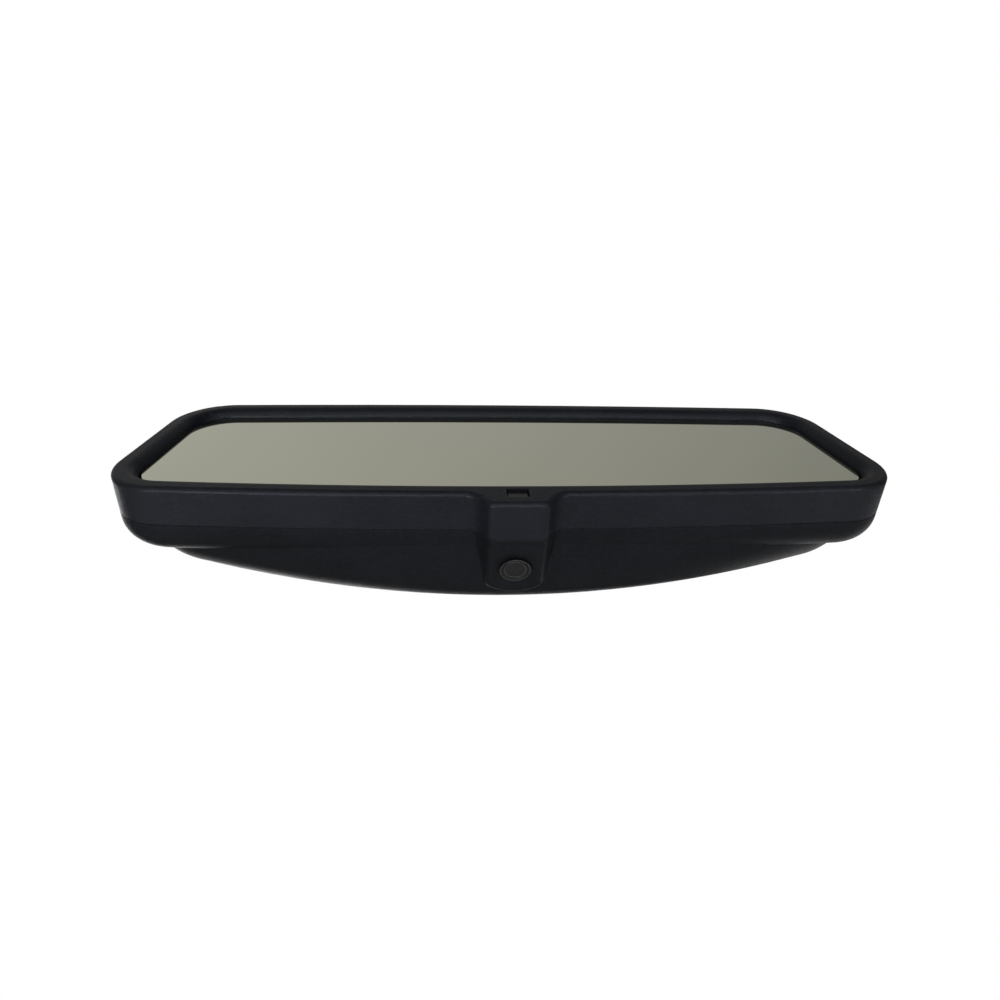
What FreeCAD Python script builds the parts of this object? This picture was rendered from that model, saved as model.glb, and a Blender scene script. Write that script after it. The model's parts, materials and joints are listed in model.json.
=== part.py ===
import FreeCAD, Part
import math
import os
import Sketcher
from FreeCAD import Placement, Rotation, Vector

# Interior rearview mirror with a dimming glass, a ball-jointed head and a twist-on windscreen foot.
# Head frame: X across, +Y from the glass towards the windscreen, +Z up, Y = 0 at the bezel's crest.
# Every node is built in the head frame and then moved so that the bonding face of the windscreen
# button is the row's origin.

SIZES = {
    # bezel and housing outline
    "outline_low_z": 38.8, "outline_top_z": 36.6, "outline_low_crown": 1450, "outline_top_crown": 3000,
    "outline_low_corner": 17.5, "outline_top_corner": 19.5, "outline_low_x": 103.3, "outline_top_x": 98.2,
    # outline of the domed back
    "dome_low_z": 38.2, "dome_top_z": 36.0, "dome_low_crown": 772, "dome_top_crown": 772,
    "dome_low_corner": 24.0, "dome_top_corner": 24.0, "dome_low_x": 93.5, "dome_top_x": 90.5,
    "dome_arch": 445, "dome_depth": 46.0, "dome_round": 20.0,
    # shell
    "wall": 2.2, "seam_y": 12.2, "seam_bevel": 0.25, "shoulder_y": 24.2, "rim_round": 10.0, "bezel_edge": 1.5,
    "opening_inset": 7.0, "opening_round": 3.4, "bezel_back_y": 8.0, "inner_wall_inset": 5.4,
    "lip_inset": 2.45, "lip_inner_inset": 4.0, "lip_front_y": 9.6, "lip_root_y": 15.0,
    # chin
    "chin_half": 6.6, "chin_low_z": 45.3, "chin_convex": 2.8, "chin_flank": 3.2, "chin_concave": 6.8,
    "chin_swing": 55.0, "chin_front_slope": 2.0, "chin_slope": 15.5, "chin_end_y": 20.6, "chin_end_radius": 14.4,
    "chin_round": 1.8,
    # dimming glass stack
    "glass_y": 3.0, "glass_inset": 7.35, "glass_thick": 2.0, "glass_bevel": 0.45,
    "cell_gap": 0.2, "seal_inset": 8.3, "seal_inner_inset": 10.0, "rear_glass_inset": 7.75,
    "clip_thick": 0.15, "clip_inset": 12.0, "clip_half_length": 84.0, "foam_inset": 13.0, "foam_thick": 1.0,
    "carrier_inset": 8.2, "carrier_thick": 2.0,
    # electronics
    "board_y": 11.4, "board_thick": 1.6, "standoff_radius": 2.6,
    # ball joint
    "ball_y": 32.0, "ball_radius": 8.0, "ball_fit": 0.05, "liner_radius": 9.6, "shank_radius": 3.5,
    "shank_rise": 12.0, "shank_end": 28.3, "socket_radius": 12.4, "socket_front": 15.5, "socket_back": 6.7,
    "liner_mouth": 42.0, "neck_hole_radius": 13.0, "neck_inner_radius": 11.5, "neck_z": 3.0,
    "flange_y": 27.0, "flange_thick": 2.5, "flange_half_x": 30.0, "flange_half_z": 18.0,
    # arm and windscreen mount
    "eye_start": 20.5, "eye_end": 26.5, "eye_radius": 6.5, "arm_width": 11.0, "arm_round": 3.2,
    "foot_radius": 17.0, "foot_depth": 11.0, "foot_clear": 0.8, "foot_cavity": 11.4, "foot_cavity_depth": 6.4,
    "button_radius": 11.0, "button_base": 1.4, "button_neck_radius": 7.2, "button_flange_z": 3.2,
    "button_depth": 4.8, "button_lobe_radius": 10.4, "button_flat": 7.6,
    "button_y": 74.0, "button_z": 56.0, "windscreen_rake": 30.0,
}

doc = FreeCAD.newDocument("rearview_mirror")
sheet = doc.addObject("Spreadsheet::Sheet", "Sizes")
for row, (alias, value) in enumerate(SIZES.items(), 1):
    sheet.set(f"A{row}", alias)
    sheet.set(f"B{row}", str(value))
    sheet.setAlias(f"B{row}", alias)
doc.recompute()

NODES = []


def get(alias):
    return float(sheet.get(alias))


def bind(obj, **expressions):
    for prop, expression in expressions.items():
        obj.setExpression(prop, expression)
    return obj


def name(word):
    return "Sizes." + word


BALL = Placement(Vector(0, get("ball_y"), 0), Rotation(Vector(1, 0, 0), get("shank_rise") - 90))
BUTTON = Placement(Vector(0, get("button_y"), get("button_z")),
                   Rotation(Vector(1, 0, 0), -get("windscreen_rake")))
ORIGIN = Placement(Vector(0, -get("button_y"), -get("button_z")), Rotation())
REARWARD = Rotation(Vector(1, 0, 0), -90)


def node(label, obj):
    """Name a finished piece and move it from the head frame to the row frame."""
    doc.recompute()
    obj.Label = label
    obj.Placement = ORIGIN.multiply(obj.Placement)
    NODES.append(obj)
    return obj


# ---------------------------------------------------------------- small builders

def cylinder(title, radius, height, where, angle=360):
    obj = doc.addObject("Part::Cylinder", title)
    bind(obj, Radius=radius, Height=height)
    obj.Angle = angle
    obj.Placement = where
    return obj


def cone(title, radius1, radius2, height, where):
    obj = bind(doc.addObject("Part::Cone", title), Radius1=radius1, Radius2=radius2, Height=height)
    obj.Placement = where
    return obj


def sphere(title, radius, where):
    obj = bind(doc.addObject("Part::Sphere", title), Radius=radius)
    obj.Placement = where
    return obj


def box(title, size, corner, frame=Placement()):
    obj = doc.addObject("Part::Box", title)
    bind(obj, Length=str(size[0]), Width=str(size[1]), Height=str(size[2]))
    obj.Placement = frame.multiply(Placement(Vector(*corner), Rotation()))
    return obj


def cut(title, base, *tools):
    obj = doc.addObject("Part::Cut", title)
    obj.Base = base
    obj.Tool = tools[0] if len(tools) == 1 else fuse(title + "_tools", *tools)
    return obj


def fuse(title, *shapes):
    obj = doc.addObject("Part::MultiFuse", title)
    obj.Shapes = list(shapes)
    return obj


def common(title, *shapes):
    obj = doc.addObject("Part::MultiCommon", title)
    obj.Shapes = list(shapes)
    return obj


def group(title, *shapes):
    obj = doc.addObject("Part::Compound", title)
    obj.Links = list(shapes)
    return obj


def rounded(title, base, radius, wanted):
    """Fillet the edges of a base for which wanted(edge) is true."""
    doc.recompute()
    obj = doc.addObject("Part::Fillet", title)
    obj.Base = base
    obj.Edges = [(i, radius, radius) for i, edge in enumerate(base.Shape.Edges, 1) if wanted(edge)]
    if not obj.Edges:
        raise RuntimeError(title + " finds no edge")
    return obj


def bevelled(title, base, size, wanted):
    """Chamfer the edges of a base for which wanted(edge) is true."""
    doc.recompute()
    obj = doc.addObject("Part::Chamfer", title)
    obj.Base = base
    obj.Edges = [(i, size, size) for i, edge in enumerate(base.Shape.Edges, 1) if wanted(edge)]
    return obj


def rearward(x, y, z):
    return Placement(Vector(x, y, z), REARWARD)


def along_ball(height):
    return BALL.multiply(Placement(Vector(0, 0, height), Rotation()))


def on_button(x, y, z):
    return BUTTON.multiply(Placement(Vector(x, y, z), Rotation()))


def sketch_in(body, title, role, depth="0"):
    """A sketch on an origin plane of a body; on XZ the depth runs towards +Y."""
    sketch = body.newObject("Sketcher::SketchObject", title)
    plane = next(o for o in body.Origin.OriginFeatures if o.Role == role)
    sketch.AttachmentSupport = [(plane, "")]
    sketch.MapMode = "FlatFace"
    sketch.setExpression("AttachmentOffset.Base.z", f"-({depth})")
    return sketch


def dimension(sketch, constraint, expression):
    sketch.setExpression(f"Constraints[{sketch.addConstraint(constraint)}]", expression)


def polygon(sketch, points):
    """Closed chain of straight edges with every corner placed by its coordinates."""
    count = len(points)
    sketch.addGeometry([Part.LineSegment(Vector(*points[i], 0), Vector(*points[(i + 1) % count], 0))
                        for i in range(count)], False)
    for i in range(count):
        sketch.addConstraint(Sketcher.Constraint("Coincident", i, 2, (i + 1) % count, 1))
    for i, (x, y) in enumerate(points):
        sketch.addConstraint(Sketcher.Constraint("DistanceX", -1, 1, i, 1, x))
        sketch.addConstraint(Sketcher.Constraint("DistanceY", -1, 1, i, 1, y))


def pad(body, sketch, length, both_ways=False):
    feature = body.newObject("PartDesign::Pad", sketch.Name + "_pad")
    feature.Profile = sketch
    feature.setExpression("Length", length)
    feature.Reversed = not both_ways
    if both_ways:
        feature.Midplane = True
    return feature


def pocket(body, sketch, length):
    doc.recompute()
    before = body.Shape.Volume
    feature = body.newObject("PartDesign::Pocket", sketch.Name + "_pocket")
    feature.Profile = sketch
    feature.setExpression("Length", length)
    doc.recompute()
    if not body.Shape.Volume < before - 1e-3:
        raise RuntimeError(sketch.Name + " removes nothing")
    return feature


# ---------------------------------------------------------------- head outlines

def corners(kind, inset):
    """Centres and angles of the rounded outline: crown arcs, corner arcs and sloping sides."""
    low, top = get(kind + "_low_crown"), get(kind + "_top_crown")
    r_low, r_top = get(kind + "_low_corner"), get(kind + "_top_corner")
    x_low, x_top = get(kind + "_low_x"), get(kind + "_top_x")
    c_low, c_top = low - get(kind + "_low_z"), get(kind + "_top_z") - top
    z_low = c_low - math.sqrt((low - r_low) ** 2 - x_low ** 2)
    z_top = c_top + math.sqrt((top - r_top) ** 2 - x_top ** 2)
    side = math.hypot(x_top - x_low, z_top - z_low)
    lean = math.atan2(z_top - z_low, x_top - x_low) - math.acos((r_low - r_top) / side)
    return (low - inset, top - inset, r_low - inset, r_top - inset, x_low, x_top, c_low, c_top, z_low, z_top,
            math.atan2(z_low - c_low, x_low), lean, math.atan2(z_top - c_top, x_top))


def outline(body, title, inset="0", depth="0", kind="outline"):
    """The head's outline, drawn in from its full size by inset."""
    shift = inset_value(inset)
    low, top, r_low, r_top, x_low, x_top, c_low, c_top, z_low, z_top, a_low, lean, a_top = corners(kind, shift)
    sketch = sketch_in(body, title, "XZ_Plane", depth)

    def arc(x, z, r, start, end):
        return Part.ArcOfCircle(Part.Circle(Vector(x, z, 0), Vector(0, 0, 1), r), start, end)

    def touch(x, z, r, sign):
        return Vector(sign * (x + r * math.cos(lean)), z + r * math.sin(lean), 0)

    sketch.addGeometry([
        arc(0, c_low, low, -math.pi - a_low, a_low),
        arc(x_low, z_low, r_low, a_low, lean),
        Part.LineSegment(touch(x_low, z_low, r_low, 1), touch(x_top, z_top, r_top, 1)),
        arc(x_top, z_top, r_top, lean, a_top),
        arc(0, c_top, top, a_top, math.pi - a_top),
        arc(-x_top, z_top, r_top, math.pi - a_top, math.pi - lean),
        Part.LineSegment(touch(x_top, z_top, r_top, -1), touch(x_low, z_low, r_low, -1)),
        arc(-x_low, z_low, r_low, math.pi - lean, math.pi - a_low)], False)
    made = Sketcher.Constraint
    sketch.addConstraint([made("Tangent", i, 2, (i + 1) % 8, 1) for i in range(8)])
    sketch.addConstraint([made("PointOnObject", 0, 3, -2), made("PointOnObject", 4, 3, -2),
                          made("Symmetric", 1, 3, 7, 3, -2), made("Symmetric", 3, 3, 5, 3, -2)])
    own = name(kind)
    dimension(sketch, made("Radius", 0, low), f"{own}_low_crown - ({inset})")
    dimension(sketch, made("Radius", 4, top), f"{own}_top_crown - ({inset})")
    dimension(sketch, made("Radius", 1, r_low), f"{own}_low_corner - ({inset})")
    dimension(sketch, made("Radius", 3, r_top), f"{own}_top_corner - ({inset})")
    dimension(sketch, made("DistanceY", -1, 1, 0, 3, c_low), f"{own}_low_crown - {own}_low_z")
    dimension(sketch, made("DistanceY", 4, 3, -1, 1, -c_top), f"{own}_top_crown - {own}_top_z")
    dimension(sketch, made("DistanceX", -1, 1, 1, 3, x_low), f"{own}_low_x")
    dimension(sketch, made("DistanceX", -1, 1, 3, 3, x_top), f"{own}_top_x")
    return sketch


def inset_value(expression):
    """Value of a sum of sheet aliases and numbers."""
    return sum(get(term.strip()[6:]) if "Sizes." in term else float(term) for term in expression.split("+"))


def plate(title, inset, front, thickness, kind="outline"):
    body = doc.addObject("PartDesign::Body", title)
    pad(body, outline(body, title + "_outline", inset, front, kind), thickness)
    return body


def ring(title, inset, inner, front, thickness):
    body = plate(title, inset, front, thickness)
    pocket(body, outline(body, title + "_hole", inner, front), thickness)
    return body


def chin_prism(title, front, length, rise, lift="0"):
    """The chin: a flat edge with S-shaped shoulders, drawn back along a rising direction."""
    half, low, swing = get("chin_half"), -get("chin_low_z"), math.radians(get("chin_swing"))
    r1, r2, flank = get("chin_convex"), get("chin_concave"), get("chin_flank")
    x1, z1 = half + r1 * math.sin(swing), low + r1 * (1 - math.cos(swing))
    x2, z2 = x1 + flank * math.cos(swing), z1 + flank * math.sin(swing)
    reach, level = x2 + r2 * math.sin(swing), z2 + r2 * (1 - math.cos(swing))
    body = doc.addObject("PartDesign::Body", title)
    sketch = sketch_in(body, title + "_profile", "XZ_Plane", front)
    sketch.setExpression("AttachmentOffset.Base.y", lift)

    def arc(x, z, r, start, end):
        return Part.ArcOfCircle(Part.Circle(Vector(x, z, 0), Vector(0, 0, 1), r), start, end)

    def line(x, z, to_x, to_z):
        return Part.LineSegment(Vector(x, z, 0), Vector(to_x, to_z, 0))

    right, quarter = math.pi / 2, -math.pi / 2
    sketch.addGeometry([
        line(-half, low, half, low),
        arc(half, low + r1, r1, quarter, quarter + swing),
        line(x1, z1, x2, z2),
        arc(reach, level - r2, r2, right, right + swing),
        line(reach, level, reach, level + 4), line(reach, level + 4, -reach, level + 4),
        line(-reach, level + 4, -reach, level),
        arc(-reach, level - r2, r2, right - swing, right),
        line(-x2, z2, -x1, z1),
        arc(-half, low + r1, r1, quarter - swing, quarter)], False)
    made = Sketcher.Constraint
    smooth = [(0, 2, 1, 1), (1, 2, 2, 1), (2, 2, 3, 2), (7, 1, 8, 1), (8, 2, 9, 1), (9, 2, 0, 1)]
    corner = [(3, 1, 4, 1), (4, 2, 5, 1), (5, 2, 6, 1), (6, 2, 7, 2)]
    sketch.addConstraint([made("Tangent", *join) for join in smooth])
    sketch.addConstraint([made("Coincident", *join) for join in corner])
    sketch.addConstraint([made("Symmetric", 0, 1, 0, 2, -2), made("Symmetric", 1, 3, 9, 3, -2),
                          made("Symmetric", 3, 3, 7, 3, -2), made("Vertical", 3, 3, 3, 1),
                          made("Vertical", 7, 3, 7, 2), made("Vertical", 4), made("Vertical", 6),
                          made("Horizontal", 5), made("DistanceY", 4, 1, 4, 2, 4.0)])
    dimension(sketch, made("Radius", 1, r1), "Sizes.chin_convex")
    dimension(sketch, made("Radius", 3, r2), "Sizes.chin_concave")
    dimension(sketch, made("DistanceX", -1, 1, 0, 2, half), "Sizes.chin_half")
    dimension(sketch, made("DistanceY", 0, 2, -1, 1, -low), "Sizes.chin_low_z")
    dimension(sketch, made("Distance", 2, flank), "Sizes.chin_flank")
    dimension(sketch, made("DistanceX", -1, 1, 3, 3, reach),
              "Sizes.chin_half + (Sizes.chin_convex + Sizes.chin_concave) * sin(Sizes.chin_swing)"
              " + Sizes.chin_flank * cos(Sizes.chin_swing)")
    feature = pad(body, sketch, length)
    feature.UseCustomVector = True
    feature.Direction = Vector(0, math.cos(math.radians(rise)), math.sin(math.radians(rise)))
    feature.Reversed = False
    return body


# ---------------------------------------------------------------- bezel and housing

def near(edge, y, tolerance=0.05):
    bounds = edge.BoundBox
    return abs(bounds.YMin - y) < tolerance and abs(bounds.YMax - y) < tolerance


def front_bezel():
    seam, opening = name("seam_y"), name("opening_inset")
    chin = common("bezel_chin", chin_prism("bezel_chin_prism", "0", "Sizes.seam_y + 4", get("chin_front_slope")),
                  box("bezel_chin_limit", (40, get("seam_y"), 30), (-20, 0, -50)))
    block = fuse("bezel_block", plate("bezel_plate", "0", "0", seam), chin)
    block.Refine = True
    opened = cut("bezel_opened", block, plate("bezel_hole", opening, "-1", "Sizes.seam_y + 2"))
    doc.recompute()

    def outer(edge):
        return near(edge, 0) and not inner(edge)

    def seam_edge(edge):
        bounds = edge.BoundBox
        return near(edge, get("seam_y")) and (max(-bounds.ZMin, bounds.ZMax) > 34 or max(
            abs(bounds.XMin), abs(bounds.XMax)) > 117)

    def inner(edge):
        bounds = edge.BoundBox
        reach = max(abs(bounds.XMin), abs(bounds.XMax))
        return near(edge, 0) and bounds.ZMin > -get("outline_low_z") + 6.9 and (
            bounds.ZMax < get("outline_top_z") - 6.9) and reach < 114.6

    eased = rounded("bezel_crest", opened, get("bezel_edge"), outer)
    eased = rounded("bezel_lip", eased, get("opening_round"), inner)
    eased = bevelled("bezel_seam", eased, get("seam_bevel"), seam_edge)
    hollow = ring("bezel_hollow", "Sizes.wall", "Sizes.inner_wall_inset", "4.4", seam)
    behind = plate("bezel_behind", "Sizes.inner_wall_inset + -0.1", "Sizes.bezel_back_y", seam)
    room = box("bezel_chin_hollow", (14.4, 12, 10.6), (-7.2, 4.4, -43.0))
    slot = box("bezel_window_slot", (5.7, 8, 4.5), (-2.85, -1, -40.75))
    step = box("bezel_window_step", (6.6, 2.2, 5.3), (-3.3, -1, -41.15))
    return node("front_bezel", cut("bezel", eased, hollow, behind, room, slot, step))


def shell_solid(tag, wall):
    """Outer skin of the housing for wall 0, or its cavity for a wall thickness."""
    inset = str(wall)
    reach = f"Sizes.shoulder_y - Sizes.seam_y - {wall}"
    rim = rounded(tag + "_rim", plate(tag + "_rim_block", inset, "Sizes.seam_y", reach),
                  get("rim_round") - wall, lambda e: near(e, get("shoulder_y") - wall))
    foot = plate(tag + "_dome_foot", inset, "Sizes.seam_y", "40", "dome")
    arch = cylinder(tag + "_arch", f"Sizes.dome_arch - {wall}", "100",
                    Placement(Vector(0, get("dome_depth") - get("dome_arch"), -50), Rotation()))
    arched = common(tag + "_arched", foot, arch)
    low = get("seam_y") + 0.1
    dome = rounded(tag + "_dome", arched, get("dome_round") - wall,
                   lambda e: e.BoundBox.YMin > low and e.BoundBox.YMax > low + 12)
    return fuse(tag, rim, dome)


def chin_boss():
    """Rear part of the chin, rising to the rear and ending in a half round."""
    prism = chin_prism("boss_prism", "Sizes.seam_y", "34", get("chin_slope"),
                       "Sizes.seam_y * tan(Sizes.chin_front_slope)")
    end = cylinder("boss_end", "Sizes.chin_end_radius", "30",
                   Placement(Vector(0, get("chin_end_y"), -55), Rotation()))
    front = box("boss_front", (34, get("chin_end_y") - get("seam_y") + 2, 30), (-17, get("seam_y") - 2, -55))
    reach = fuse("boss_reach", end, front)
    boss = common("boss_body", prism, reach)
    return rounded("chin_boss", boss, get("chin_round"),
                   lambda e: e.BoundBox.YMax > 22 and e.BoundBox.ZMax < -30.5 and e.BoundBox.YLength > 1)


def posts(title, spots, start, ends, radius):
    return [cylinder(f"{title}_{i}", radius, str(end - start), rearward(x, start, z))
            for i, ((x, z), end) in enumerate(zip(spots, ends))]


SOCKET_SPOTS = [(24, 12), (-24, 12), (-24, -12), (24, -12)]
CARRIER_SPOTS = [(92, 12), (92, -12), (-92, 12), (-92, -12), (45, 23), (-45, 23)]
CARRIER_ENDS = [34.5, 34.5, 34.5, 34.5, 38.5, 38.5]
BOARD_SPOTS = [(-10, 14), (79, 14), (79, -15), (-10, -15)]
INLET = (64.0, 4.0)


def lens_frame():
    """Frame of the round lens in the chin's underside; local +Z points out of the housing."""
    slope = math.radians(get("chin_slope"))
    y = 25.0
    z = -get("chin_low_z") + get("seam_y") * math.tan(math.radians(get("chin_front_slope")))
    z += (y - get("seam_y")) * math.tan(slope)
    return Placement(Vector(0, y, z), Rotation(Vector(1, 0, 0), 180 + get("chin_slope")))


def rear_housing():
    skin = bevelled("housing_skin", fuse("skin_full", shell_solid("skin", 0), chin_boss()), get("seam_bevel"),
                    lambda e: near(e, get("seam_y")))
    cavity = shell_solid("cavity", get("wall"))
    lip = ring("lip", "Sizes.lip_inset", "Sizes.lip_inner_inset", "Sizes.lip_front_y", "5.4")
    root = ring("lip_root", "1.6", "Sizes.lip_inner_inset", "Sizes.seam_y", "2.5")
    inlet = box("inlet_hole", (20.4, 30, 11.4), (INLET[0] - 10.2, 24, INLET[1] - 5.7))
    neck = cylinder("neck_hole", "Sizes.neck_hole_radius + 0.02", "20", rearward(0, 36, get("neck_z")))
    body = doc.addObject("PartDesign::Body", "chin_room")
    sketch = sketch_in(body, "chin_room_profile", "YZ_Plane")
    polygon(sketch, [(9.0, -42.7), (12.2, -42.7), (31.0, -37.5), (31.0, -26.0), (9.0, -26.0)])
    pad(body, sketch, "14.4", True)
    lens = cylinder("lens_seat", "4.82", "14", lens_frame().multiply(Placement(Vector(0, 0, -8), Rotation())))
    dish = cone("lens_dish", "4.82", "8.0", "1.0",
                lens_frame().multiply(Placement(Vector(0, 0, -0.9), Rotation())))
    shell = cut("housing_shell", skin, cavity)
    bosses = posts("carrier_post", CARRIER_SPOTS, 10.2, CARRIER_ENDS, "3.5")
    bosses += posts("socket_post", SOCKET_SPOTS, get("flange_y") + get("flange_thick"), [44.0] * 4, "3.75")
    filled = fuse("housing_filled", shell, lip, root, *bosses)
    pilots = posts("carrier_pilot", CARRIER_SPOTS, 9.4, [20.4] * 6, "1.05")
    pilots += posts("socket_pilot", SOCKET_SPOTS, 28.0, [39.6] * 4, "1.55")
    return node("rear_housing", cut("housing", filled, inlet, neck, body, lens, dish, *pilots))


def neck_collar():
    """Rounded ring snapped into the neck opening."""
    where = rearward(0, 42.2, get("neck_z"))
    outer = cylinder("collar_outer", "Sizes.neck_hole_radius - 0.03", "4.9", where)
    eased = rounded("collar_eased", outer, 0.6, lambda e: near(e, 47.1))
    return node("neck_collar", cut("collar", eased, cylinder("collar_bore", "Sizes.neck_inner_radius", "9",
                                                            rearward(0, 41.2, get("neck_z")))))


# ---------------------------------------------------------------- dimming glass

def glass_stack():
    thick, gap = get("glass_thick"), get("cell_gap")
    y1 = get("glass_y")
    y2, y3 = y1 + thick, y1 + thick + gap
    y4 = y3 + thick
    front = plate("front_pane", "Sizes.glass_inset", "Sizes.glass_y", "Sizes.glass_thick")
    node("front_glass", bevelled("front_pane_bevel", front, get("glass_bevel"), lambda e: near(e, y1)))
    node("edge_seal", ring("seal", "Sizes.seal_inset", "Sizes.seal_inner_inset", str(y2), "Sizes.cell_gap"))
    node("dimming_gel", plate("gel", "Sizes.seal_inner_inset", str(y2), "Sizes.cell_gap"))
    node("rear_glass", plate("rear_pane", "Sizes.rear_glass_inset", str(y3), "Sizes.glass_thick"))
    back = ring("clip_back", "Sizes.rear_glass_inset + -0.2", "Sizes.clip_inset", str(y4), "Sizes.clip_thick")
    edge = ring("clip_edge", "Sizes.rear_glass_inset + -0.2", "Sizes.rear_glass_inset + -0.04", str(y3), "2.05")
    full = fuse("clip_full", back, edge)
    half = get("clip_half_length")
    node("bus_clip_upper", common("clip_up", full, box("clip_up_box", (2 * half, 20, 40), (-half, 0, 0))))
    node("bus_clip_lower", common("clip_low", full, box("clip_low_box", (2 * half, 20, 45), (-half, 0, -45))))
    foam_y = y4
    node("foam_pad", plate("foam", "Sizes.foam_inset", str(foam_y), "Sizes.foam_thick"))
    return foam_y + get("foam_thick")


def carrier(front):
    base = plate("carrier_base", "Sizes.carrier_inset", str(front), "Sizes.carrier_thick")
    back = front + get("carrier_thick")
    feet = posts("standoff", BOARD_SPOTS, back - 0.5, [get("board_y")] * 4, "Sizes.standoff_radius")
    holes = posts("carrier_hole", CARRIER_SPOTS, front - 1, [back + 2] * 6, "1.3")
    sinks = posts("carrier_sink", CARRIER_SPOTS, front - 1, [front + 1.1] * 6, "2.4")
    pilots = posts("board_pilot", BOARD_SPOTS, front + 0.6, [front + 6] * 4, "0.95")
    node("carrier_plate", cut("carrier", fuse("carrier_full", base, *feet), *holes, *sinks, *pilots))
    screws = []
    for i, (x, z) in enumerate(CARRIER_SPOTS):
        screws.append(screw(f"carrier_screw_{i}", rearward(x, front + 0.1, z), 2.2, 1.0, 1.0, 10.0))
    node("carrier_screws", group("carrier_screw_set", *screws))


def screw(title, where, head_radius, head, radius, length):
    """Pan-head screw pointing along local +Z, with a cross recess."""
    cap = cylinder(title + "_head", str(head_radius), str(head), where)
    shaft = cylinder(title + "_shaft", str(radius), str(length), where)
    width, span = 0.25 * head_radius, 1.3 * head_radius
    arms = [box(title + "_slot_a", (span, width, head), (-span / 2, -width / 2, -head / 2), where),
            box(title + "_slot_b", (width, span, head), (-width / 2, -span / 2, -head / 2), where)]
    return cut(title, fuse(title + "_body", cap, shaft), *arms)


# ---------------------------------------------------------------- electronics

def electronics():
    y, thick = get("board_y"), get("board_thick")
    rear = y + thick
    main = box("board_main", (100, thick, 37), (-15, y, -19))
    tab = box("board_tab", (11, thick, 22.4), (-5.5, y, -41))
    holes = posts("board_hole", BOARD_SPOTS, y - 1, [rear + 1] * 4, "1.15")
    node("circuit_board", cut("board", fuse("board_full", main, tab), *holes))
    screws = []
    for i, (x, z) in enumerate(BOARD_SPOTS):
        where = Placement(Vector(x, rear + 1.0, z), Rotation(Vector(1, 0, 0), 90))
        screws.append(screw(f"board_screw_{i}", where, 1.9, 1.0, 0.9, 5.0))
    node("board_screws", group("board_screw_set", *screws))
    chips = [box(f"chip_{i}", (w, 1.4, h), (x, rear, z))
             for i, (x, z, w, h) in enumerate([(30, -9, 9, 9), (20, 6, 5, 6), (42, -14, 6, 5), (16.5, -12, 4, 3)])]
    node("board_chips", group("chip_set", *chips))
    cans = [cylinder(f"can_{i}", "3.15", "7.0", rearward(x, rear, z))
            for i, (x, z) in enumerate([(47, 8), (47, 0.5), (34, 8)])]
    node("board_capacitors", group("can_set", *cans))
    inlet(rear)
    node("glare_sensor", box("glare_chip", (4.0, 2.6, 3.2), (-2.0, y - 2.6, -39.6)))
    pipe = fuse("glare_pipe", box("glare_stem", (5.6, 7.6, 4.4), (-2.8, 0.9, -40.7)),
                box("glare_collar", (7.4, 1.0, 6.0), (-3.7, 4.5, -41.5)))
    node("glare_window", pipe)
    frame = lens_frame()
    shift = lambda h: frame.multiply(Placement(Vector(0, 0, h), Rotation()))
    trim = rounded("trim_eased", cylinder("trim_outer", "4.78", "2.45", shift(-2.3)), 0.2,
                   lambda e: e.Curve.TypeId == "Part::GeomCircle")
    node("lens_ring", cut("lens_trim", trim, cylinder("trim_bore", "3.25", "4", shift(-3)),
                          cone("trim_dish", "3.4", "4.45", "0.6", shift(-0.4))))
    stem = cylinder("lens_stem", "3.2", "4.2", shift(-5.0))
    bulge = common("lens_bulge", cylinder("lens_limit", "3.2", "2", shift(-1.0)),
                   sphere("lens_ball", "12", shift(-11.95)))
    node("ambient_lens", fuse("lens", stem, bulge))
    node("ambient_sensor", box("ambient_chip", (4.0, 3.2, 1.6), (-2.0, -1.6, -6.7), frame))
    node("sensor_board", box("sensor_plate", (11.0, 9.0, 1.0), (-5.5, -4.5, -7.7), frame))


def inlet(rear):
    """Plug inlet: a shrouded header standing on the board and facing the housing's rear opening."""
    x, z = INLET
    top = 37.0
    shroud = cut("shroud", box("shroud_block", (19.6, top - rear, 10.6), (x - 9.8, rear, z - 5.3)),
                 box("shroud_room", (17.0, 11.0, 8.0), (x - 8.5, top - 10.0, z - 4.0)),
                 box("shroud_key", (4.0, 11.0, 1.5), (x - 2.0, top - 10.0, z + 3.9)))
    spots = [(x + 2.54 * (i - 2.5), z + 2.54 * (j - 0.5)) for i in range(6) for j in range(2)]
    pins = [box(f"pin_{i}", (0.64, 10.0, 0.64), (px - 0.32, top - 14.0, pz - 0.32))
            for i, (px, pz) in enumerate(spots)]
    holes = [box(f"pin_hole_{i}", (0.64, 5.0, 0.64), (px - 0.32, top - 14.0, pz - 0.32))
             for i, (px, pz) in enumerate(spots)]
    node("plug_inlet", cut("inlet", shroud, *holes))
    node("inlet_pins", group("pin_set", *pins))


# ---------------------------------------------------------------- ball joint

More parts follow.
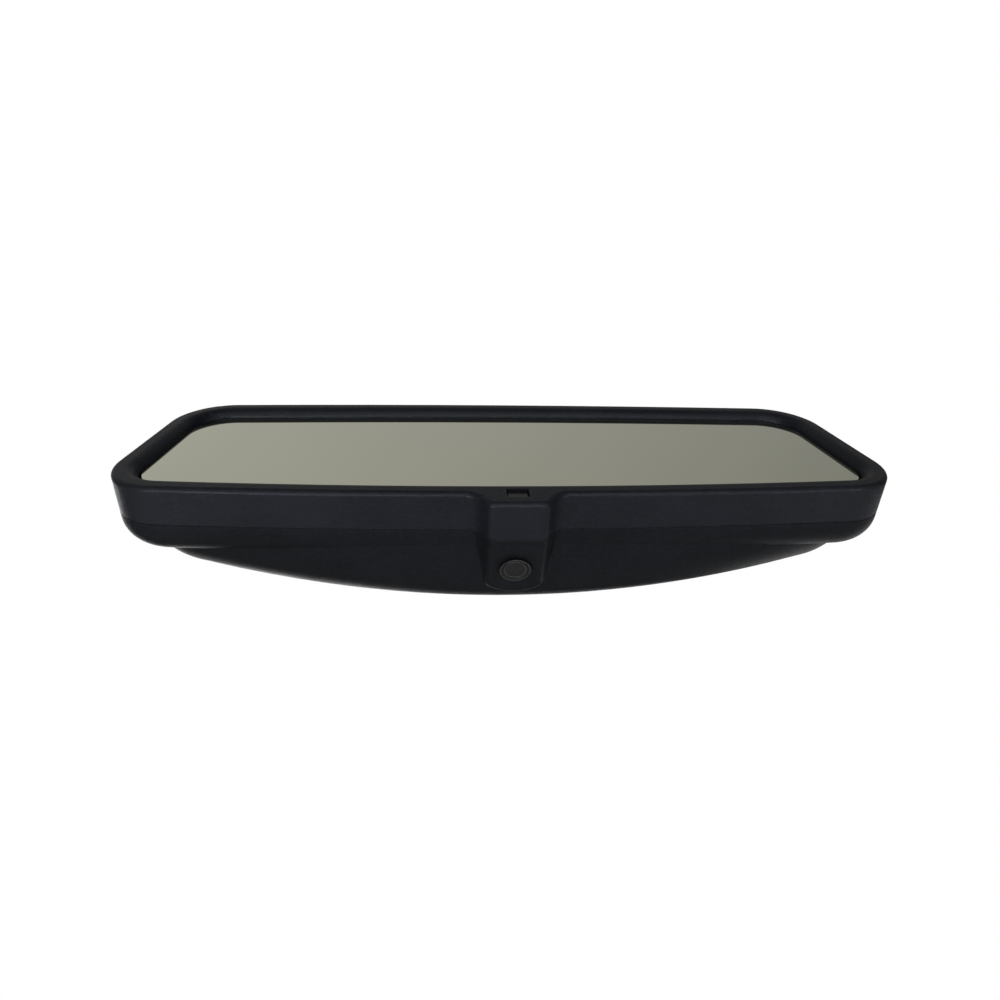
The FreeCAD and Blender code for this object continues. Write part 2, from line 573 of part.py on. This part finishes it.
def ball_joint():
    fit = name("liner_radius") + " + Sizes.ball_fit"
    back, front = get("socket_back"), get("socket_front")
    y0, y1 = get("flange_y"), get("flange_y") + get("flange_thick")
    hx, hz = get("flange_half_x"), get("flange_half_z")
    cup = cylinder("cup_outer", "Sizes.socket_radius", "Sizes.socket_front + Sizes.socket_back", along_ball(-front))
    flange = rounded("flange", box("flange_block", (2 * hx, y1 - y0, 2 * hz), (-hx, y0, -hz)), 5.0,
                     lambda e: e.BoundBox.YLength > 2 and e.BoundBox.XLength < 0.1 and e.BoundBox.ZLength < 0.1)
    seat = sphere("cup_seat", fit, along_ball(0))
    bore = cylinder("cup_bore", fit, "Sizes.socket_front + 5", along_ball(-front - 5))
    mouth = cylinder("cup_mouth", "6.95", "20", along_ball(0))
    holes = posts("flange_hole", SOCKET_SPOTS, y0 - 1, [y1 + 1] * 4, "1.7")
    node("ball_socket", cut("socket", fuse("socket_full", cup, flange), seat, bore, mouth, *holes))
    screws = [screw(f"socket_screw_{i}", rearward(x, y0 - 1.8, z), 3.0, 1.8, 1.5, 13.0)
              for i, (x, z) in enumerate(SOCKET_SPOTS)]
    node("socket_screws", group("socket_screw_set", *screws))
    node("pressure_cup", cut("cup", cylinder("cup_block", "Sizes.liner_radius", "8", along_ball(-12)),
                             sphere("cup_hollow", fit, along_ball(0)), cylinder("cup_vent", "3", "10", along_ball(-14))))
    node("cone_spring", cut("spring", cone("spring_outer", "9.4", "7.0", "1.4", along_ball(-13.4)),
                            cone("spring_inner", "8.6", "6.2", "1.4", along_ball(-13.4)),
                            cylinder("spring_vent", "6.2", "4", along_ball(-14))))
    node("spring_cap", cut("cap", cylinder("cap_block", "Sizes.liner_radius", "2.1", along_ball(-front)),
                           box("cap_key", (5, 5, 4), (-2.5, -2.5, -front - 1), BALL)))
    mouth_cone = cone("liner_mouth", "0.01", "14 * tan(Sizes.liner_mouth)", "14", along_ball(0))
    slit = box("liner_slit", (0.8, 12, 30), (-0.4, 2, -15), BALL)
    node("ball_liner", cut("liner", sphere("liner_outer", "Sizes.liner_radius", along_ball(0)),
                           sphere("liner_inner", "Sizes.ball_radius + Sizes.ball_fit", along_ball(0)),
                           mouth_cone, cylinder("liner_front", "4", "20", along_ball(-20)), slit))
    ball = fuse("stud_full", sphere("ball", "Sizes.ball_radius", along_ball(0)),
                cylinder("shank", "Sizes.shank_radius", "Sizes.shank_end", along_ball(0)))
    groove = cut("stud_groove", cylinder("groove_outer", "6", "0.9", along_ball(26.75)),
                 cylinder("groove_core", "2.8", "2", along_ball(26)))
    node("ball_stud", cut("stud", ball, groove))
    ring_c = cut("clip_ring", cylinder("clip_outer", "5.2", "0.8", along_ball(26.8)),
                 cylinder("clip_bore", "2.85", "2", along_ball(26)), box("clip_gap", (4.6, 8, 3), (-2.3, 0, 26), BALL))
    node("stud_clip", ring_c)


# ---------------------------------------------------------------- arm and windscreen button

def arm_beam():
    """Side profile of the cast arm between the eye and the foot."""
    eye = BALL.multVec(Vector(0, 0, (get("eye_start") + get("eye_end")) / 2))
    top = [BUTTON.multVec(Vector(0, s, -8.6)) for s in (-9.0, 9.0)]
    rear_low, front_low = (eye.y - 3.3, eye.z + 3.6), (eye.y + 3.6, eye.z + 3.0)
    rear_top, front_top = (top[0].y, top[0].z), (top[1].y, top[1].z)
    rear_mid = ((rear_low[0] + rear_top[0]) / 2 - 1.2, (rear_low[1] + rear_top[1]) / 2)
    front_mid = ((front_low[0] + front_top[0]) / 2 - 2.6, (front_low[1] + front_top[1]) / 2 + 1.0)
    v = lambda p: Vector(p[0], p[1], 0)
    body = doc.addObject("PartDesign::Body", "arm_beam")
    sketch = sketch_in(body, "arm_profile", "YZ_Plane")
    sketch.addGeometry([Part.Arc(v(rear_low), v(rear_mid), v(rear_top)), Part.LineSegment(v(rear_top), v(front_top)),
                        Part.Arc(v(front_top), v(front_mid), v(front_low)),
                        Part.LineSegment(v(front_low), v(rear_low))], False)
    sketch.addConstraint([Sketcher.Constraint("Block", i) for i in range(4)])
    pad(body, sketch, "Sizes.arm_width", True)
    return rounded("arm_rounded", body, get("arm_round"),
                   lambda e: e.BoundBox.XLength < 0.01 and e.BoundBox.ZLength > 15)


def mount_arm():
    depth, clear = get("foot_depth"), get("foot_clear")
    eye = cylinder("eye", "Sizes.eye_radius", "Sizes.eye_end - Sizes.eye_start", along_ball(get("eye_start")))
    eye = rounded("eye_eased", eye, 0.8, lambda e: e.Curve.TypeId == "Part::GeomCircle")
    foot = rounded("foot", cylinder("foot_block", "Sizes.foot_radius", "Sizes.foot_depth - Sizes.foot_clear",
                                    on_button(0, 0, -depth)), 2.0,
                   lambda e: e.Curve.TypeId == "Part::GeomCircle")
    room = cylinder("foot_room", "Sizes.foot_cavity", "Sizes.foot_cavity_depth",
                    on_button(0, 0, -get("foot_cavity_depth")))
    seat = cylinder("ring_seat", "14.55", "2.3", on_button(0, 0, -clear - 2.3))
    bore = cylinder("eye_bore", "Sizes.shank_radius + 0.04", "20", along_ball(get("eye_start") - 3))
    spot_face = cylinder("clip_room", "5.8", "4", along_ball(get("eye_end")))
    pilots = [cylinder(f"ring_pilot_{i}", "0.85", "6", on_button(x, y, -7.6)) for i, (x, y) in enumerate(RING_SPOTS)]
    return node("mount_arm", cut("arm", fuse("arm_full", arm_beam(), eye, foot), room, seat, bore, spot_face, *pilots))


RING_SPOTS = [(13.0 * math.cos(math.radians(a)), 13.0 * math.sin(math.radians(a))) for a in (90, 210, 330)]


def bayonet():
    """Spring steel lock ring in the foot; its opening passes the button's lobes when turned a quarter."""
    level, thick, head = -3.1, 1.2, 0.8
    disc = cylinder("lock_disc", "14.5", str(thick), on_button(0, 0, level))
    opening = common("lock_opening", cylinder("lock_reach", "Sizes.button_lobe_radius + 0.3", "4",
                                              on_button(0, 0, level - 1)),
                     box("lock_band", (30, 16, 4), (-15, -8, level - 1), BUTTON))
    holes = [cylinder(f"lock_screw_hole_{i}", "1.0", "4", on_button(x, y, level - 1))
             for i, (x, y) in enumerate(RING_SPOTS)]
    node("lock_ring", cut("lock", disc, opening, *holes))
    screws = [screw(f"lock_screw_{i}", BUTTON.multiply(Placement(Vector(x, y, level + thick + head),
                    Rotation(Vector(1, 0, 0), 180))), 1.5, head, 0.8, 5.2)
              for i, (x, y) in enumerate(RING_SPOTS)]
    node("lock_ring_screws", group("lock_screw_set", *screws))


def windscreen_button():
    """Bonded steel button: base disc, neck and a flange with two flats."""
    base = rounded("button_base", cylinder("button_disc", "Sizes.button_radius", "Sizes.button_base",
                                           on_button(0, 0, -get("button_base"))), 0.3,
                   lambda e: e.Curve.TypeId == "Part::GeomCircle" and e.BoundBox.YMin > 0 and (
                       BUTTON.inverse().multVec(e.Curve.Center).z < -1))
    neck = cylinder("button_neck", "Sizes.button_neck_radius", "Sizes.button_depth - 0.4",
                    on_button(0, 0, -get("button_depth") + 0.2))
    flat, depth = get("button_flat"), get("button_depth")
    lobes = common("button_lobes", cylinder("button_flange", "Sizes.button_lobe_radius",
                                            "Sizes.button_depth - Sizes.button_flange_z", on_button(0, 0, -depth)),
                   box("button_flats", (2 * flat, 30, 4), (-flat, -15, -depth - 1), BUTTON))
    node("windscreen_button", fuse("button", base, neck, lobes))


front_bezel()
carrier(glass_stack())
electronics()
rear_housing()
neck_collar()
ball_joint()
mount_arm()
bayonet()
windscreen_button()
doc.recompute()

for obj in doc.Objects:
    if any(word in obj.State for word in ("Invalid", "Error")):
        raise RuntimeError(f"{obj.Label}: {obj.State}")
os.makedirs("parts", exist_ok=True)
for piece in NODES:
    shape = piece.Shape
    if shape.isNull() or not shape.isValid() or not shape.Solids:
        raise RuntimeError(piece.Label + " has no valid solid")
    shape.exportStep(f"parts/{piece.Label}.step")
    print(piece.Label, len(shape.Solids), round(shape.Volume), len(shape.Faces))
print(len(NODES), "nodes")
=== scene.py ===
import bmesh
import bpy
import json
import math
from mathutils import Matrix, Vector

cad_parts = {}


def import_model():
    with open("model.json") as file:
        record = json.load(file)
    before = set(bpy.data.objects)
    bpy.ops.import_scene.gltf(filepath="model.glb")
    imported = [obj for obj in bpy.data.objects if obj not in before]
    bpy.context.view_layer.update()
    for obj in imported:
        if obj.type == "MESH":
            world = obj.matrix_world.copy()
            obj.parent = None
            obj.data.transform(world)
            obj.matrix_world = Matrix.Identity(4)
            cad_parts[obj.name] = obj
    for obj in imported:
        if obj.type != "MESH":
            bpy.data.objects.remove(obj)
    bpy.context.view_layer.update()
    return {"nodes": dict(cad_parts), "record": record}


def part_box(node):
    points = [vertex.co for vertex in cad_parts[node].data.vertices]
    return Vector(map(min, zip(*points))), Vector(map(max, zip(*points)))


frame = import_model()
scene = bpy.context.scene
scene.view_settings.view_transform = "Standard"

MM = 0.001
# limits between which a noise texture's values mostly lie
NOISE_LOW, NOISE_HIGH = 0.35, 0.65


def rgb(r, g, b):
    return (r, g, b, 1.0)


def brighter(colour, times):
    return rgb(*[min(1.0, c * times) for c in colour])


# ---------------------------------------------------------------- node trees

class Tree:
    """Short calls for building a tree of shader nodes."""

    def __init__(self, tree):
        self.tree = tree
        self.coordinates = self.add("ShaderNodeTexCoord").outputs

    def add(self, kind, inputs=None, **settings):
        made = self.tree.nodes.new(kind)
        for key, value in settings.items():
            setattr(made, key, value)
        for key, value in (inputs or {}).items():
            self.feed(made.inputs[key], value)
        return made

    def feed(self, socket, value):
        if isinstance(value, bpy.types.NodeSocket):
            self.tree.links.new(value, socket)
        else:
            socket.default_value = value

    def math(self, operation, a, b=0.0):
        return self.add("ShaderNodeMath", {0: a, 1: b}, operation=operation).outputs[0]

    def vector(self, operation, a, b=(0, 0, 0), result="Value"):
        return self.add("ShaderNodeVectorMath", {0: a, 1: b}, operation=operation).outputs[result]

    def span(self, value, low, high, to_low, to_high, **settings):
        limits = {"Value": value, "From Min": low, "From Max": high, "To Min": to_low, "To Max": to_high}
        return self.add("ShaderNodeMapRange", limits, **settings).outputs[0]


class Material(Tree):
    """A principled material whose textures lie in the object's own place."""

    def __init__(self, name):
        self.mat = bpy.data.materials.new(name)
        self.mat.use_nodes = True
        super().__init__(self.mat.node_tree)
        self.shader = self.tree.nodes["Principled BSDF"]
        self.place = self.coordinates["Object"]

    def noise(self, scale, detail=4.0, rough=0.55, vector=None):
        inputs = {"Vector": vector or self.place, "Scale": scale, "Detail": detail, "Roughness": rough}
        return self.add("ShaderNodeTexNoise", inputs).outputs["Fac"]

    def cells(self, scale):
        return self.add("ShaderNodeTexVoronoi", {"Vector": self.place, "Scale": scale}).outputs["Distance"]

    def mapped(self, scale, rotation=(0, 0, 0)):
        inputs = {"Vector": self.place, "Scale": scale, "Rotation": rotation}
        return self.add("ShaderNodeMapping", inputs).outputs[0]

    def even(self, noise, low, high):
        """A noise spread over the whole way from low to high."""
        return self.span(noise, NOISE_LOW, NOISE_HIGH, low, high)

    def blend(self, a, b, share):
        """The weighted sum of two textures, share of it from the first."""
        return self.math("ADD", self.math("MULTIPLY", a, share), self.math("MULTIPLY", b, 1.0 - share))

    def mix(self, factor, a, b):
        made = self.add("ShaderNodeMix", data_type="RGBA")
        for socket, value in ((made.inputs[0], factor), (made.inputs[6], a), (made.inputs[7], b)):
            self.feed(socket, value)
        return made.outputs[2]

    def bump(self, height, distance, strength=1.0, under=None):
        inputs = {"Height": height, "Distance": distance, "Strength": strength}
        if under is not None:
            inputs["Normal"] = under
        return self.add("ShaderNodeBump", inputs).outputs["Normal"]

    def edges(self, radius=0.9 * MM):
        """1 along rounded edges, 0 elsewhere: wear on most finishes, a painted highlight on the lens ring."""
        soft = self.add("ShaderNodeBevel", {"Radius": radius}, samples=4).outputs["Normal"]
        true = self.add("ShaderNodeNewGeometry").outputs["Normal"]
        dot = self.vector("DOT_PRODUCT", soft, true)
        return self.span(dot, 0.995, 0.86, 0.0, 1.0)

    def finish(self, **sockets):
        for key, value in sockets.items():
            self.feed(self.shader.inputs[key.replace("_", " ")], value)
        return self.mat


# ---------------------------------------------------------------- finishes

def grained_plastic(name, dark, light, rough, grain, depth=0.022 * MM, dust=0.05, shine=0.5,
                    sheen=(1.0, 1.0, 1.0)):
    """Moulded plastic with a fine eroded grain, slight blotching, specks of dust and shinier edges."""
    n = Material(name)
    broad = n.noise(34, 3, 0.6)
    fine = n.noise(900, 3, 0.6)
    pits = n.cells(grain * 0.5)
    knots = n.noise(grain * 0.28, 3, 0.7)
    specks = n.noise(2600, 2, 0.7)
    edge_mask = n.edges()
    colour = n.mix(n.span(broad, NOISE_LOW, 0.68, 0.0, 1.0), rgb(*dark), rgb(*light))
    colour = n.mix(n.span(knots, 0.45, 0.75, 0.0, 0.5), colour, brighter(light, 1.9))
    colour = n.mix(n.span(specks, 0.66, 0.78, 0.0, dust), colour, rgb(0.16, 0.165, 0.17))
    colour = n.mix(n.math("MULTIPLY", edge_mask, 0.3), colour, brighter(light, 2.4))
    base = n.even(n.blend(broad, fine, 0.5), *rough)
    height = n.math("ADD", n.math("MULTIPLY", pits, 0.5), knots)
    waves = n.bump(n.noise(60, 2), 0.03 * MM, 0.35)
    return n.finish(Base_Color=colour, Roughness=n.math("SUBTRACT", base, n.math("MULTIPLY", edge_mask, 0.16)),
                    Normal=n.bump(height, depth, 0.85, waves), IOR=1.5, Specular_IOR_Level=shine,
                    Specular_Tint=rgb(*sheen))


def smooth_plastic(name, dark, light, rough=(0.25, 0.38), flow=120, depth=0.01 * MM, **extra):
    """Plastic, resin or gel with faint flow marks; flow is how fine they are."""
    n = Material(name)
    broad = n.noise(flow, 3)
    colour = n.mix(n.even(broad, 0.0, 1.0), rgb(*dark), rgb(*light))
    height = n.math("ADD", broad, n.math("MULTIPLY", n.noise(flow * 25, 2), 0.25))
    return n.finish(Base_Color=colour, Roughness=n.even(n.noise(flow * 9, 4), *rough),
                    Normal=n.bump(height, depth, 0.8), **extra)


def metal(name, dark, light, rough=(0.25, 0.45), stretch=(1, 1, 1), scale=500, depth=0.012 * MM):
    """Machined, plated or ground metal: streaks square to the stretched axis, tarnish and bright edges."""
    n = Material(name)
    streak = n.noise(scale, 5, 0.7, n.mapped(stretch))
    cloud = n.noise(70, 4)
    edge_mask = n.edges(0.5 * MM)
    colour = n.mix(n.even(cloud, 0.0, 1.0), rgb(*dark), rgb(*light))
    colour = n.mix(n.math("MULTIPLY", edge_mask, 0.35), colour, brighter(light, 1.25))
    return n.finish(Base_Color=colour, Roughness=n.even(n.blend(streak, cloud, 0.6), *rough), Metallic=1.0,
                    Normal=n.bump(streak, depth, 0.7))


def powder_coat(name, dark, light):
    """Sprayed and baked coat with a soft orange peel, a little grit and paler edges."""
    n = Material(name)
    peel = n.noise(750, 2, 0.5)
    grit = n.cells(2600)
    cloud = n.noise(45, 3)
    edge_mask = n.edges(0.7 * MM)
    colour = n.mix(n.even(cloud, 0.0, 1.0), rgb(*dark), rgb(*light))
    colour = n.mix(n.math("MULTIPLY", edge_mask, 0.3), colour, rgb(0.10, 0.10, 0.105))
    height = n.math("ADD", peel, n.math("MULTIPLY", grit, 0.35))
    return n.finish(Base_Color=colour, Roughness=n.even(n.blend(peel, cloud, 0.6), 0.4, 0.55),
                    Normal=n.bump(height, 0.05 * MM, 0.7), IOR=1.52)


def mirror_face(name):
    """The dimming cell as its front pane shows it, opaque: tinted silvering, polished and lightly smeared."""
    n = Material(name)
    smear = n.noise(24, 5, 0.6)
    wipe = n.noise(160, 4, 0.6, n.mapped((0.15, 1, 1), (0, 0.5, 0)))
    dust = n.span(n.noise(2200, 2, 0.7), 0.68, 0.76, 0.0, 1.0)
    smeared = n.span(n.math("MULTIPLY", smear, wipe), 0.18, 0.4, 0.012, 0.05)
    tint = n.mix(n.even(smear, 0.0, 1.0), rgb(0.585, 0.590, 0.472), rgb(0.600, 0.605, 0.484))
    tint = n.mix(n.math("MULTIPLY", dust, 0.12), tint, rgb(0.75, 0.75, 0.72))
    return n.finish(Base_Color=tint, Metallic=1.0,
                    Roughness=n.math("ADD", smeared, n.math("MULTIPLY", dust, 0.10)), Coat_Weight=0.25,
                    Coat_Roughness=0.02, Coat_IOR=1.5, Normal=n.bump(n.noise(16, 2), 0.006 * MM, 0.2))


def silvering(name):
    """Silvered back pane with a faint haze."""
    n = Material(name)
    cloud = n.noise(14, 3)
    haze = n.noise(300, 4)
    colour = n.mix(n.even(cloud, 0.0, 1.0), rgb(0.56, 0.575, 0.50), rgb(0.585, 0.60, 0.525))
    return n.finish(Base_Color=colour, Metallic=1.0, Roughness=n.span(haze, 0.3, 0.7, 0.015, 0.035),
                    Normal=n.bump(n.noise(22, 2), 0.006 * MM, 0.25))


def laminate(name):
    """Green circuit board laminate with its glass weave."""
    n = Material(name)
    weave = n.add("ShaderNodeTexChecker", {"Vector": n.place, "Scale": 1600}).outputs["Fac"]
    colour = n.mix(n.even(n.noise(80, 3), 0.0, 1.0), rgb(0.012, 0.085, 0.035), rgb(0.02, 0.12, 0.05))
    colour = n.mix(n.math("MULTIPLY", weave, 0.08), colour, rgb(0.05, 0.16, 0.08))
    return n.finish(Base_Color=colour, Roughness=n.even(n.noise(500, 3), 0.25, 0.4),
                    Normal=n.bump(weave, 0.008 * MM, 0.5))


def rimmed_plastic(name):
    """Dark satin ring whose thin outer and inner rims carry a painted highlight: a pale colour along its
    edges.
    """
    n = Material(name)
    cloud = n.noise(420, 4)
    edge_mask = n.edges(0.35 * MM)
    colour = n.mix(n.even(cloud, 0.0, 1.0), rgb(0.0020, 0.0021, 0.0025), rgb(0.0034, 0.0036, 0.0041))
    # painted highlight: the pale rims stand in for the light the ring's edges catch
    colour = n.mix(n.math("MULTIPLY", edge_mask, 0.8), colour, rgb(0.07, 0.071, 0.073))
    return n.finish(Base_Color=colour, Roughness=n.even(cloud, 0.3, 0.42),
                    Normal=n.bump(n.noise(2400, 3), 0.02 * MM, 0.6), Specular_IOR_Level=0.15)


def frosted_lens(name):
    """Frosted optic with concentric steps centred on the lens."""
    n = Material(name)
    low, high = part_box("ambient_lens")
    step = 0.75 * MM
    from_centre = n.vector("SUBTRACT", n.place, tuple((low + high) / 2), "Vector")
    distance = n.vector("LENGTH", from_centre)
    rings = n.math("SINE", n.math("MULTIPLY", distance, 2 * math.pi / step))
    frost = n.noise(2400, 3, 0.65)
    colour = n.mix(n.even(frost, 0.0, 1.0), rgb(0.0045, 0.0045, 0.0049), rgb(0.0085, 0.0085, 0.0091))
    height = n.math("ADD", n.math("MULTIPLY", rings, 0.5), n.math("MULTIPLY", frost, 0.6))
    return n.finish(Base_Color=colour, Roughness=n.span(frost, 0.3, 0.7, 0.34, 0.5),
                    Normal=n.bump(height, 0.04 * MM, 0.6), IOR=1.49, Specular_IOR_Level=0.12)


# each material slot's finish, and how it differs from that finish's usual look
FINISHES = {
    "bezel_plastic": (grained_plastic, dict(
        dark=(0.0026, 0.0029, 0.0042), light=(0.0042, 0.0047, 0.0066), rough=(0.36, 0.46), grain=3600,
        depth=0.10 * MM, dust=0.03, shine=0.12, sheen=(0.82, 0.88, 1.0))),
    "housing_plastic": (grained_plastic, dict(
        dark=(0.0024, 0.0027, 0.0034), light=(0.0038, 0.0042, 0.0052), rough=(0.42, 0.54), grain=3200,
        depth=0.09 * MM, dust=0.02, shine=0.06, sheen=(0.86, 0.91, 1.0))),
    "clear_glass": (mirror_face, {}),
    "dimming_gel": (smooth_plastic, dict(
        dark=(0.8, 0.84, 0.78), light=(0.82, 0.86, 0.8), rough=(0.02, 0.04), flow=60, depth=0.004 * MM,
        Transmission_Weight=1.0, IOR=1.5)),
    "seal_resin": (smooth_plastic, dict(dark=(0.02, 0.02, 0.02), light=(0.035, 0.034, 0.032))),
    "mirror_coated_glass": (silvering, {}),
    "clip_metal": (metal, dict(dark=(0.52, 0.45, 0.30), light=(0.68, 0.60, 0.42))),
    "foam": (grained_plastic, dict(
        dark=(0.02, 0.02, 0.02), light=(0.035, 0.035, 0.035), rough=(0.8, 0.95), grain=2200,
        depth=0.12 * MM)),
    "inner_plastic": (grained_plastic, dict(
        dark=(0.02, 0.02, 0.021), light=(0.035, 0.035, 0.037), rough=(0.4, 0.55), grain=3000)),
    "screw_steel": (metal, dict(dark=(0.45, 0.45, 0.44), light=(0.62, 0.62, 0.60), rough=(0.25, 0.4))),
    "board_laminate": (laminate, {}),
    "chip_epoxy": (smooth_plastic, dict(
        dark=(0.012, 0.012, 0.013), light=(0.02, 0.02, 0.021), rough=(0.5, 0.65), flow=300,
        depth=0.02 * MM)),
    "can_metal": (metal, dict(dark=(0.6, 0.6, 0.62), light=(0.72, 0.72, 0.74), rough=(0.2, 0.35))),
    "inlet_plastic": (grained_plastic, dict(
        dark=(0.02, 0.02, 0.021), light=(0.03, 0.03, 0.032), rough=(0.35, 0.5), grain=3800)),
    "pin_brass": (metal, dict(dark=(0.62, 0.50, 0.26), light=(0.78, 0.66, 0.36), rough=(0.15, 0.3))),
    "sensor_epoxy": (smooth_plastic, dict(
        dark=(0.02, 0.015, 0.03), light=(0.03, 0.022, 0.04), rough=(0.1, 0.2))),
    "window_plastic": (smooth_plastic, dict(
        dark=(0.0035, 0.0030, 0.0040), light=(0.0060, 0.0052, 0.0066), rough=(0.2, 0.3), flow=200,
        depth=0.008 * MM, Specular_IOR_Level=0.25)),
    "lens_ring_plastic": (rimmed_plastic, {}),
    "lens_plastic": (frosted_lens, {}),
    "collar_rubber": (grained_plastic, dict(
        dark=(0.010, 0.010, 0.010), light=(0.018, 0.018, 0.018), rough=(0.6, 0.8), grain=2600,
        depth=0.03 * MM)),
    "socket_nylon": (grained_plastic, dict(
        dark=(0.08, 0.075, 0.07), light=(0.12, 0.115, 0.105), rough=(0.4, 0.55), grain=2400)),
    "spring_steel": (metal, dict(
        dark=(0.28, 0.27, 0.27), light=(0.42, 0.41, 0.40), rough=(0.28, 0.42), stretch=(1, 8, 1),
        scale=400)),
    "cap_steel": (metal, dict(
        dark=(0.42, 0.42, 0.43), light=(0.55, 0.55, 0.56), rough=(0.25, 0.4), stretch=(1, 1, 9),
        scale=300)),
    "liner_nylon": (smooth_plastic, dict(
        dark=(0.60, 0.59, 0.54), light=(0.68, 0.67, 0.62), rough=(0.35, 0.5))),
    "stud_steel": (metal, dict(
        dark=(0.46, 0.46, 0.47), light=(0.62, 0.62, 0.63), rough=(0.16, 0.32), stretch=(1, 14, 1),
        scale=260)),
    "arm_cast": (powder_coat, dict(dark=(0.011, 0.0115, 0.0125), light=(0.018, 0.0185, 0.02))),
    "button_steel": (metal, dict(
        dark=(0.30, 0.30, 0.295), light=(0.42, 0.42, 0.41), rough=(0.45, 0.65), scale=1500,
        depth=0.05 * MM)),
}

materials = {slot: make(slot, **settings) for slot, (make, settings) in FINISHES.items()}
for entry in frame["record"]["subparts"]:
    mesh = frame["nodes"][entry["node"]].data
    mesh.materials.clear()
    mesh.materials.append(materials[entry["material_slot"]])


# ---------------------------------------------------------------- stage, light and camera

# millimetres in the head's own frame: its origin is in the middle of the bezel's crest, X is the width,
# Y runs to the windscreen and Z up
BEZEL_TOP = 36.6
AIM = (0, 20, 0)
CAMERA_PLACE = (-17.80, -86.20, -206.54)

# name, place, width and height in metres, watts
AREA_LIGHTS = (
    ("top", (-100, 500, 850), (1.2, 0.7), 7.0),
    ("back", (700, 600, 250), (0.5, 0.5), 1.2),
    ("rear", (-560, 700, 640), (1.0, 0.5), 5.0),
    ("low_left", (-270, -25, -420), (0.05, 0.05), 0.65),
    ("low_right", (340, -10, -365), (0.05, 0.05), 0.38),
    ("under", (-60, -130, -470), (0.80, 0.02), 2.0),
    ("front", (-60, -560, -430), (0.80, 0.03), 1.3),
)
SKY_STRENGTH = 1.1
SKY_SPREAD = math.radians(60)
FLOOR_LEVEL = -0.62
FLOOR_REACH = 40.0


def head_point(x, y, z):
    """Metres in the row frame from millimetres in the head's own frame."""
    low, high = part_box("front_bezel")
    origin = Vector(((low.x + high.x) / 2, low.y, high.z - BEZEL_TOP * MM))
    return origin + Vector((x, y, z)) * MM


def put(name, data, location=(0, 0, 0)):
    obj = bpy.data.objects.new(name, data)
    obj.location = location
    scene.collection.objects.link(obj)
    return obj


def facing(direction):
    """The turn that points a light's beam along a direction."""
    return direction.to_track_quat("-Z", "Y").to_euler()


def floor():
    mesh = bpy.data.meshes.new("floor")
    shape = bmesh.new()
    bmesh.ops.create_grid(shape, x_segments=2, y_segments=2, size=FLOOR_REACH)
    shape.to_mesh(mesh)
    shape.free()
    paint = Material("floor_paint")
    colour = paint.mix(paint.noise(1.5, 3), rgb(0.78, 0.78, 0.77), rgb(0.82, 0.82, 0.81))
    mesh.materials.append(paint.finish(
        Base_Color=colour, Roughness=paint.span(paint.noise(9, 3), 0.3, 0.7, 0.7, 0.85)))
    put("floor", mesh, (0, 0, FLOOR_LEVEL))


def area(name, spot, size, watts):
    """A soft panel aimed at the head, which the camera doesn't see directly."""
    light = bpy.data.lights.new(name, "AREA")
    light.shape = "RECTANGLE"
    light.size, light.size_y = size
    light.energy = watts
    obj = put(name, light, head_point(*spot))
    obj.rotation_euler = facing(head_point(*AIM) - obj.location)
    obj.visible_camera = False


def sky():
    """Very soft overhead light that keeps the floor evenly pale."""
    light = bpy.data.lights.new("sky", "SUN")
    light.energy = SKY_STRENGTH
    light.angle = SKY_SPREAD
    put("sky", light).rotation_euler = facing(Vector((0, -0.5, -0.87)))


def world():
    """White to the camera, and otherwise a broad pale lobe above and in front that is dimmer towards +X."""
    made = bpy.data.worlds.new("studio")
    scene.world = made
    made.use_nodes = True
    made.node_tree.nodes.clear()
    n = Tree(made.node_tree)
    outward = n.coordinates["Generated"]
    along = n.vector("DOT_PRODUCT", outward, (-0.10, -0.52, 0.85))
    lobe = n.span(along, 0.1, 0.97, 0.09, 0.44, interpolation_type="SMOOTHSTEP")
    sideways = n.add("ShaderNodeSeparateXYZ", {0: outward}).outputs["X"]
    across = n.span(sideways, -0.6, 0.7, 1.28, 0.70)
    soft = n.add("ShaderNodeBackground", {"Color": rgb(1.0, 1.0, 0.975),
                                          "Strength": n.math("MULTIPLY", lobe, across)})
    white = n.add("ShaderNodeBackground", {"Color": rgb(1.0, 1.0, 1.0), "Strength": 1.0})
    to_camera = n.add("ShaderNodeLightPath").outputs["Is Camera Ray"]
    both = n.add("ShaderNodeMixShader", {0: to_camera, 1: soft.outputs[0], 2: white.outputs[0]})
    n.add("ShaderNodeOutputWorld", {0: both.outputs[0]})


def turned(a, b, angle):
    """Two square vectors, both turned by an angle from the first towards the second."""
    cos, sin = math.cos(angle), math.sin(angle)
    return cos * a + sin * b, cos * b - sin * a


def camera():
    """Below and in front of the head, looking up at its lower edge."""
    right, up, ahead = Vector((1, 0, 0)), Vector((0, -1, 0)), Vector((0, 0, 1))
    up, ahead = turned(up, ahead, math.radians(27.80))
    ahead, right = turned(ahead, right, math.radians(3.82))
    right, up = turned(right, up, math.radians(-0.15))
    data = bpy.data.cameras.new("camera")
    data.lens = 23.76
    data.sensor_width = 36.0
    data.clip_start = 0.005
    data.clip_end = 50.0
    obj = put("camera", data)
    turn = Matrix((right, up, -ahead)).transposed().to_4x4()
    obj.matrix_world = Matrix.Translation(head_point(*CAMERA_PLACE)) @ turn
    scene.camera = obj


floor()
world()
for light in AREA_LIGHTS:
    area(*light)
sky()
camera()
